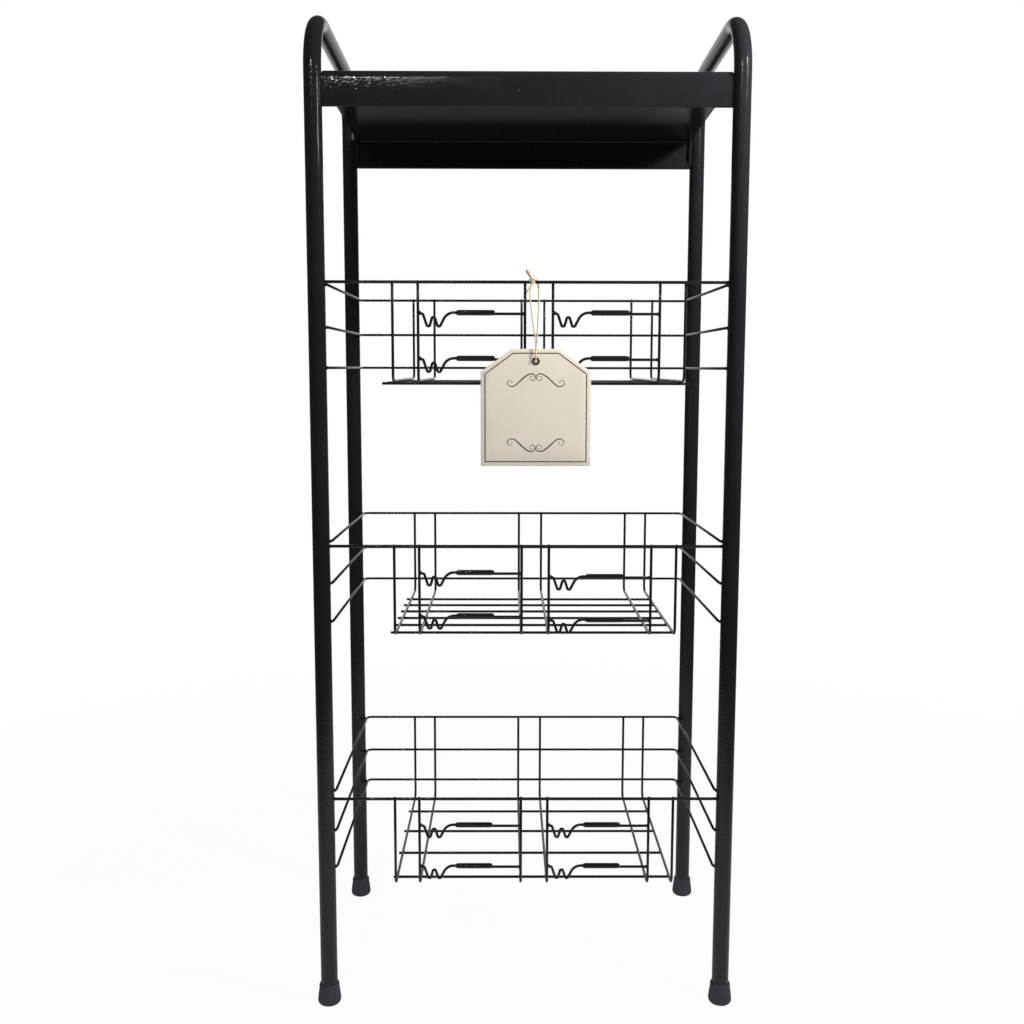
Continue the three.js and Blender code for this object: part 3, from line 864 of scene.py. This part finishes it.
class STAND_OT_tray(bpy.types.Operator):
    """Folds the sheet metal tray with its front lip and hemmed skirts"""

    bl_idname = "stand.tray"
    bl_label = "Tray"

    def execute(self, context):
        sizes, colours = settings(context)
        place_painted("folded_tray", self.sheet(sizes), colours, "top_tray", sharp=50.0)
        return {"FINISHED"}

    def sheet(self, sizes):
        """One sheet folded along a profile in Y and Z: both faces stand half the thickness off its
        middle line, and the closed loop of the two faces is carried from the right end to the left."""
        low, high = span("top_tray")
        half = sizes.sheet / 2
        front, rear, top = low[1] + half, high[1] - half, high[2] - half
        level, lip = top - sizes.lip_rise, front + sizes.lip_width
        front_hem, rear_hem = top - sizes.front_skirt, low[2] + half
        corners = np.array([
            [front + sizes.hem_gap, front_hem + sizes.hem_height],
            [front + sizes.hem_gap, front_hem],
            [front, front_hem],
            [front, top],
            [lip, top],
            [lip + sizes.lip_slope, level],
            [rear, level],
            [rear, rear_hem],
            [rear - sizes.hem_gap, rear_hem],
            [rear - sizes.hem_gap, rear_hem + sizes.hem_height],
        ])
        line = bent_path(corners, FOLD_RADII, 9)
        line = line[np.concatenate([[True], step_lengths(line) > 1e-7])]
        along = directions(line)
        across = points(-along[:, 1], along[:, 0]) * half
        loop = np.vstack([line + across, (line - across)[::-1]])
        grid = points(np.linspace(high[0], low[0], 9)[:, None], loop[:, 0], loop[:, 1])
        shape = Shape().add(grid, caps=False)
        number = np.arange(grid[..., 0].size).reshape(grid.shape[:2])
        count = len(line)
        for row, flip in ((number[0], True), (number[-1], False)):
            outer, inner = row[:count], row[count:][::-1]
            strip = np.stack([outer[:-1], outer[1:], inner[1:], inner[:-1]], axis=1)
            shape.faces.append(strip[:, ::-1] if flip else strip)
        return shape


class STAND_OT_feet(bpy.types.Operator):
    """Turns the four rubber feet"""

    bl_idname = "stand.feet"
    bl_label = "Feet"

    def execute(self, context):
        sizes, colours = settings(context)
        rubber = finish_material("moulded_rubber", colours)
        for end in ("front_left", "front_right", "rear_left", "rear_right"):
            node = f"foot_{end}"
            low, high = span(node)
            centre = np.array([*(low + high)[:2] / 2, low[2]])
            profile = self.profile((high[0] - low[0]) / 2, high[2] - low[2], sizes)
            mesh = Shape().add(turned(profile, centre, UP, RIGHT, 56)).mesh(f"rubber_{node}")
            place(f"rubber_{node}", mesh, rubber, "stand", "foot_rubber", node)
        return {"FINISHED"}

    def profile(self, base, height, sizes):
        """Radii and heights of a cup: rounded lower edge, flared wall, a bead round the lip, and the
        socket that takes the tube."""
        edge, bead, bend = sizes.foot_edge, 0.0006, 0.0012
        socket = sizes.tube_diameter / 2 - 0.0001
        lip = socket + 0.0018
        neck = lip - 0.0002
        point, hollow, sole = 0.0004, 0.0006, 0.0062
        rise = np.linspace(0.0, 1.0, 12)
        flare = base + (lip - base) * rise**1.3
        wall = points(flare, edge + (height - 0.004 - edge) * rise)
        return np.vstack([
            [[point, hollow], [base * 0.45, hollow], [base * 0.5, 0.0]],
            arc((base - edge, edge), edge, -90, 0, 8),
            wall[1:],
            arc((neck, height - 0.0026), bead, -60, 60, 4),
            [[neck, height - 0.0018]],
            arc((neck - bend, height - bend), bend, 0, 90, 6),
            [[socket, height], [socket, sole], [point, sole]],
        ])


class STAND_OT_rims(bpy.types.Operator):
    """Draws the front rim bar of each basket"""

    bl_idname = "stand.rims"
    bl_label = "Front rims"

    def execute(self, context):
        sizes, colours = settings(context)
        into_weld = 0.0002
        for tier in TIERS:
            node = f"{tier}_front_rim"
            low, high = span(node)
            path = points(np.linspace(low[0] - into_weld, high[0] + into_weld, 12), *middle(node)[1:])
            shape = Shape().add(wire_grid(path, sizes.rim_diameter, UP, 20))
            place_painted(f"{tier}_rim_bar", shape, colours, node)
        return {"FINISHED"}


class STAND_OT_guards(bpy.types.Operator):
    """Bends the three guard wires round the sides and back of each basket"""

    bl_idname = "stand.guards"
    bl_label = "Guard wires"

    def execute(self, context):
        sizes, colours = settings(context)
        for tier in TIERS:
            for level in LEVELS:
                path = guard_path(tier, level, sizes)
                shape = Shape().add(wire_grid(path, sizes.wire_diameter, UP))
                place_painted(f"{tier}_guard_wire_{level}", shape, colours, f"{tier}_guard_{level}")
        return {"FINISHED"}


class STAND_OT_ribs(bpy.types.Operator):
    """Bends the ribs and lays the floor wires under them"""

    bl_idname = "stand.ribs"
    bl_label = "Ribs and floors"

    def execute(self, context):
        sizes, colours = settings(context)
        wire = sizes.wire_diameter
        for tier in TIERS:
            places = rib_places(tier, sizes)
            for number, x in enumerate(places[1:-1], 1):
                shape = Shape().add(wire_grid(rib_path(tier, x, sizes), wire, RIGHT))
                place_painted(f"{tier}_bent_rib_{number}", shape, colours, f"{tier}_rib_{number}")
            cradle = Shape()
            for x in (places[0], places[-1]):
                cradle.add(wire_grid(rib_path(tier, x, sizes), wire, RIGHT))
            for left, right in floor_wire_ends(tier, sizes):
                path = left + np.linspace(0, 1, 12)[:, None] * (right - left)
                cradle.add(wire_grid(path, wire, UP))
            place_painted(f"{tier}_welded_cradle", cradle, colours, f"{tier}_cradle")
        return {"FINISHED"}


class STAND_OT_scrolls(bpy.types.Operator):
    """Bends the scroll wires in the basket fronts and slips their sleeves on"""

    bl_idname = "stand.scrolls"
    bl_label = "Scroll wires"

    def execute(self, context):
        sizes, colours = settings(context)
        for tier in TIERS:
            for side, row in SCROLLS:
                node = f"{tier}_scroll_{side}_{row}"
                place_painted(f"{node}_wire", self.scroll(tier, side, row, sizes), colours, node)
        return {"FINISHED"}

    def scroll(self, tier, side, row, sizes):
        """The wire leaves the left rib level, zigzags down and up twice like a W with round bends, rises
        to the sleeve and runs on to the right rib a little lower. The sleeve is a bar whose ends taper
        to the wire."""
        start, end, y, z = scroll_line(tier, side, row, sizes)
        rib = start - sizes.wire_diameter / 2 - 0.0003
        full, taper = sizes.sleeve_length, sizes.sleeve_taper
        sleeve = SCROLL_TURNS[-1, 0]
        run = [[sleeve + full, -SCROLL_DROP], [end - rib + 0.0004, -SCROLL_DROP]]
        line = np.vstack([bent_path(SCROLL_TURNS, SCROLL_RADII, 9), run])
        path = points(rib + line[:, 0], y, z + line[:, 1])
        shape = Shape().add(wire_grid(path, sizes.wire_diameter, FORWARD))
        mouth = sizes.wire_diameter * 0.6
        rise = np.linspace(0.0, 1.0, 7)
        swell = mouth + (sizes.sleeve_diameter / 2 - mouth) * np.sin(rise * np.pi / 2)
        left, right = points(swell, taper * rise), points(swell, full - taper * rise)[::-1]
        profile = np.vstack([[[0.0003, 0.0]], left, right, [[0.0003, full]]])
        return shape.add(turned(profile, np.array([rib + sleeve, y, z]), RIGHT, UP, 24))


class STAND_OT_welds(bpy.types.Operator):
    """Sets the weld beads where the wires cross and where they meet the legs"""

    bl_idname = "stand.welds"
    bl_label = "Weld beads"

    def execute(self, context):
        sizes, colours = settings(context)
        joints = (self.rim_welds, self.floor_welds, self.guard_welds, self.scroll_welds)
        for tier in TIERS:
            centres = np.vstack([made(tier, sizes) for made in joints])
            place_painted(f"{tier}_weld_beads", self.beads(centres, sizes.weld_radius), colours)
        seams = self.beads(self.tray_welds(), sizes.weld_radius * 1.25)
        place_painted("tray_weld_beads", seams, colours)
        return {"FINISHED"}

    def beads(self, centres, radius):
        """Lumps of weld: a flattened sphere about each centre whose radius swells by
        1 + 0.13 sin(3 v + 2.4 n) sin(2 u + 1.7 n), for the n-th bead."""
        u = np.linspace(0.16, np.pi - 0.16, 7)[:, None]
        v = full_turn(10)[None]
        n = np.arange(len(centres))[:, None, None]
        swell = radius * (1 + 0.13 * np.sin(3 * v + 2.4 * n) * np.sin(2 * u + 1.7 * n))
        ball = points(np.sin(u) * np.cos(v), np.sin(u) * np.sin(v), -np.cos(u))
        return Shape().add(centres[:, None, None] + swell[..., None] * ball)

    def rim_welds(self, tier, sizes):
        """Between the rim and each rib, and at the rim's ends on the legs."""
        low, high = span(f"{tier}_front_rim")
        y, z = middle(f"{tier}_front_rim")[1:]
        ribs = points(rib_places(tier, sizes), y + sizes.rim_diameter / 2, z)
        return np.vstack([ribs, points(np.array([low[0] + 0.0006, high[0] - 0.0006]), y, z)])

    def floor_welds(self, tier, sizes):
        """Between each rib and each floor wire."""
        y, z = floor_wire_ends(tier, sizes)[:, 0, 1:].T[..., None]
        return points(rib_places(tier, sizes), y, z + sizes.wire_diameter / 2).reshape(-1, 3)

    def guard_welds(self, tier, sizes):
        """Between each rib and each guard at the back, and between the guards and the legs."""
        reach = wire_reach(sizes)
        rib_rear = span(f"{tier}_rib_1")[1][1] - reach + sizes.wire_diameter / 2
        leg = middle("foot_rear_left")[1]
        made = []
        for level in LEVELS:
            low, high = span(f"{tier}_guard_{level}")
            front, rear = low[2] + reach, high[2] - reach
            made.append(points(rib_places(tier, sizes), rib_rear, rear))
            slope = (rear - front) / (high[1] - low[1])
            for y in (-leg, leg):
                made.append(points(np.array([low[0], high[0]]), y, front + slope * (y - low[1])))
        return np.vstack(made)

    def scroll_welds(self, tier, sizes):
        """Between each end of a scroll wire and its rib."""
        made = []
        for side, row in SCROLLS:
            start, end, y, z = scroll_line(tier, side, row, sizes)
            made += [[start, y, z], [end, y, z - SCROLL_DROP]]
        return np.array(made)

    def tray_welds(self):
        """Along the inner faces of the legs, behind the tray's skirts and under its floor."""
        low, high = span("top_tray")
        leg, tall = middle("foot_rear_left")[1], high[2] - low[2]
        step = np.linspace(0, 1, 15)
        uneven = 0.0007 * np.sin(7.3 * np.arange(15))
        y = np.concatenate([0.003 - leg + uneven, leg - 0.004 + uneven])
        z = low[2] + np.concatenate([0.014 + (tall - 0.023) * step, 0.006 + (tall - 0.018) * step])
        return np.vstack([points(x, y, z) for x in (low[0], high[0])])


def tag_corners(inset):
    """The tag's six corners in X and Z, turned from X to Z, moved in from every edge by the inset:
    a corner moves by i (m + n) / (1 + m . n), with m and n the inward normals of its two edges."""
    left, low = span("hang_tag")[0][[0, 2]]
    right, high = span("hang_tag")[1][[0, 2]]
    wide, tall = TAG_CLIP
    corners = np.array([
        [left, low], [right, low], [right, high - tall], [right - wide, high],
        [left + wide, high], [left, high - tall],
    ])
    edge = unit(np.roll(corners, -1, 0) - corners)
    inward = points(-edge[:, 1], edge[:, 0])
    before = np.roll(inward, 1, 0)
    return corners + inset * (before + inward) / (1 + np.sum(before * inward, axis=1, keepdims=True))


class STAND_OT_tag(bpy.types.Operator):
    """Cuts the tag's board and prints its border and flourishes"""

    bl_idname = "stand.tag"
    bl_label = "Tag"

    def execute(self, context):
        sizes, colours = settings(context)
        board = finish_material("cream_board", colours)
        ink = finish_material("brown_ink", colours)
        mesh = self.board().mesh("tag_board", sharp=60.0)
        place("tag_board", mesh, board, "hanging_tag", "tag_board", "hang_tag")
        place("tag_print", self.ink_lines(sizes).mesh("tag_print"), ink, "hanging_tag", "tag_board")
        return {"FINISHED"}

    def board(self):
        """Loops from the eyelet's hole out to the edge: P(u, s) = (1 - s) h(u) + s o(u), with o on the
        outline and h on the hole in the same direction. They run out over the back, round the
        bevelled edge and in over the front."""
        low, high = span("hang_tag")
        hole, hole_radius = middle("tag_eyelet")[[0, 2]], 0.0033
        bevel = 0.0005
        t = np.linspace(0, 1, 12, endpoint=False)[:, None]

        def outline(inset):
            corners = tag_corners(inset)
            return (corners[:, None] + t * (np.roll(corners, -1, 0) - corners)[:, None]).reshape(-1, 2)

        inner = hole + hole_radius * unit(outline(0.0) - hole)
        back, front = high[1], low[1]
        turns = np.radians([30.0, 60.0, 90.0])
        shares = np.linspace(0, 1, 6)
        rows = [(inner + part * (outline(bevel) - inner), back) for part in shares]
        rows += [(outline(bevel * (1 - np.sin(a))), back - bevel * (1 - np.cos(a))) for a in turns]
        rows += [(outline(bevel * (1 - np.sin(a))), front + bevel * (1 - np.cos(a))) for a in turns[::-1]]
        rows += [(inner + part * (outline(bevel) - inner), front) for part in shares[::-1]]
        grid = np.stack([points(loop[:, 0], y, loop[:, 1]) for loop, y in rows])
        return Shape().add(grid, wrap_rows=True)

    def ink_lines(self, sizes):
        """The border is a thin ring of ink of square section. A flourish is a line of flat section
        whose width swells along it, in two mirrored halves, upright above and turned over below."""
        low, high = span("hang_tag")
        face, sunk, proud = low[1], 0.0002, -0.00006
        outer, inner = tag_corners(sizes.border_inset), tag_corners(sizes.border_inset + sizes.border_width)
        rows = ((inner, sunk), (outer, sunk), (outer, proud), (inner, proud))
        ring = np.stack([points(loop[:, 0], face + off, loop[:, 1]) for loop, off in rows])
        shape = Shape().add(ring, wrap_rows=True)
        line = smooth_path(FLOURISH, 170)
        width = 0.0002 + 0.00056 * np.sin(np.pi * np.linspace(0, 1, len(line))) ** 1.3
        angle = full_turn(8)
        offsets = points(0.00007 * np.cos(angle), width[:, None] * np.sin(angle))
        centre = (low[0] + high[0]) / 2
        for height, turn in ((high[2] - sizes.flourish_top, 1.0), (low[2] + sizes.flourish_low, -1.0)):
            for mirror in (1.0, -1.0):
                path = points(centre + mirror * line[:, 0], face, height + turn * line[:, 1])
                shape.add(carried(path, offsets, FORWARD))
        return shape


class STAND_OT_eyelet(bpy.types.Operator):
    """Turns the rolled metal eyelet in the tag"""

    bl_idname = "stand.eyelet"
    bl_label = "Eyelet"

    def execute(self, context):
        sizes, colours = settings(context)
        low, high = span("tag_eyelet")
        wall, rolled = 0.0015, 0.0005
        bore = sizes.eyelet_bore / 2
        roll = ((high[0] - low[0]) / 2 - bore) / 2
        inner = (high[1] - low[1]) / 2 - rolled
        angle = np.radians(np.linspace(0, 180, 13))
        flange = points(bore + roll + roll * np.cos(angle), inner + rolled * np.sin(angle))
        back = flange[::-1] * np.array([1.0, -1.0])
        barrel = np.array([[bore + wall, -inner], [bore + wall, inner]])
        grid = turned(np.vstack([back, barrel, flange]), (low + high) / 2, FORWARD, RIGHT, 40)
        mesh = Shape().add(grid, wrap_rows=True).mesh("rolled_eyelet")
        bronze = finish_material("aged_bronze", colours)
        place("rolled_eyelet", mesh, bronze, "hanging_tag", "eyelet_metal", "tag_eyelet")
        return {"FINISHED"}


# The stage comes first, with the camera, then the twine, then every other piece.
BUILDERS = (
    STAND_OT_stage,
    STAND_OT_twine,
    STAND_OT_side_frames,
    STAND_OT_tray,
    STAND_OT_feet,
    STAND_OT_rims,
    STAND_OT_guards,
    STAND_OT_ribs,
    STAND_OT_scrolls,
    STAND_OT_welds,
    STAND_OT_tag,
    STAND_OT_eyelet,
)


class STAND_PT_builder(bpy.types.Panel):
    """Lists the stand's pieces, its sizes and its colours"""

    bl_idname = "STAND_PT_builder"
    bl_label = "Fruit stand"
    bl_space_type = "VIEW_3D"
    bl_region_type = "UI"
    bl_category = "Fruit stand"

    def draw(self, context):
        for builder in BUILDERS:
            self.layout.operator(builder.bl_idname)
        for group in settings(context):
            box = self.layout.box()
            for key in group.bl_rna.properties.keys():
                if key not in ("rna_type", "name"):
                    box.prop(group, key)


CLASSES = (StandSizes, StandColours, *BUILDERS, STAND_PT_builder)


def register():
    """Registers the classes and hangs the sizes and colours on the scene."""
    for kind in CLASSES:
        bpy.utils.register_class(kind)
    bpy.types.Scene.stand_sizes = bpy.props.PointerProperty(type=StandSizes)
    bpy.types.Scene.stand_colours = bpy.props.PointerProperty(type=StandColours)


def unregister():
    """Takes the sizes, the colours and the classes away again."""
    del bpy.types.Scene.stand_colours
    del bpy.types.Scene.stand_sizes
    for kind in reversed(CLASSES):
        bpy.utils.unregister_class(kind)


def main():
    """Registers the classes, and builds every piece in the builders' order."""
    register()
    bpy.ops.stand.stage()
    bpy.ops.stand.twine()
    bpy.ops.stand.side_frames()
    bpy.ops.stand.tray()
    bpy.ops.stand.feet()
    bpy.ops.stand.rims()
    bpy.ops.stand.guards()
    bpy.ops.stand.ribs()
    bpy.ops.stand.scrolls()
    bpy.ops.stand.welds()
    bpy.ops.stand.tag()
    bpy.ops.stand.eyelet()


if __name__ == "__main__":
    main()
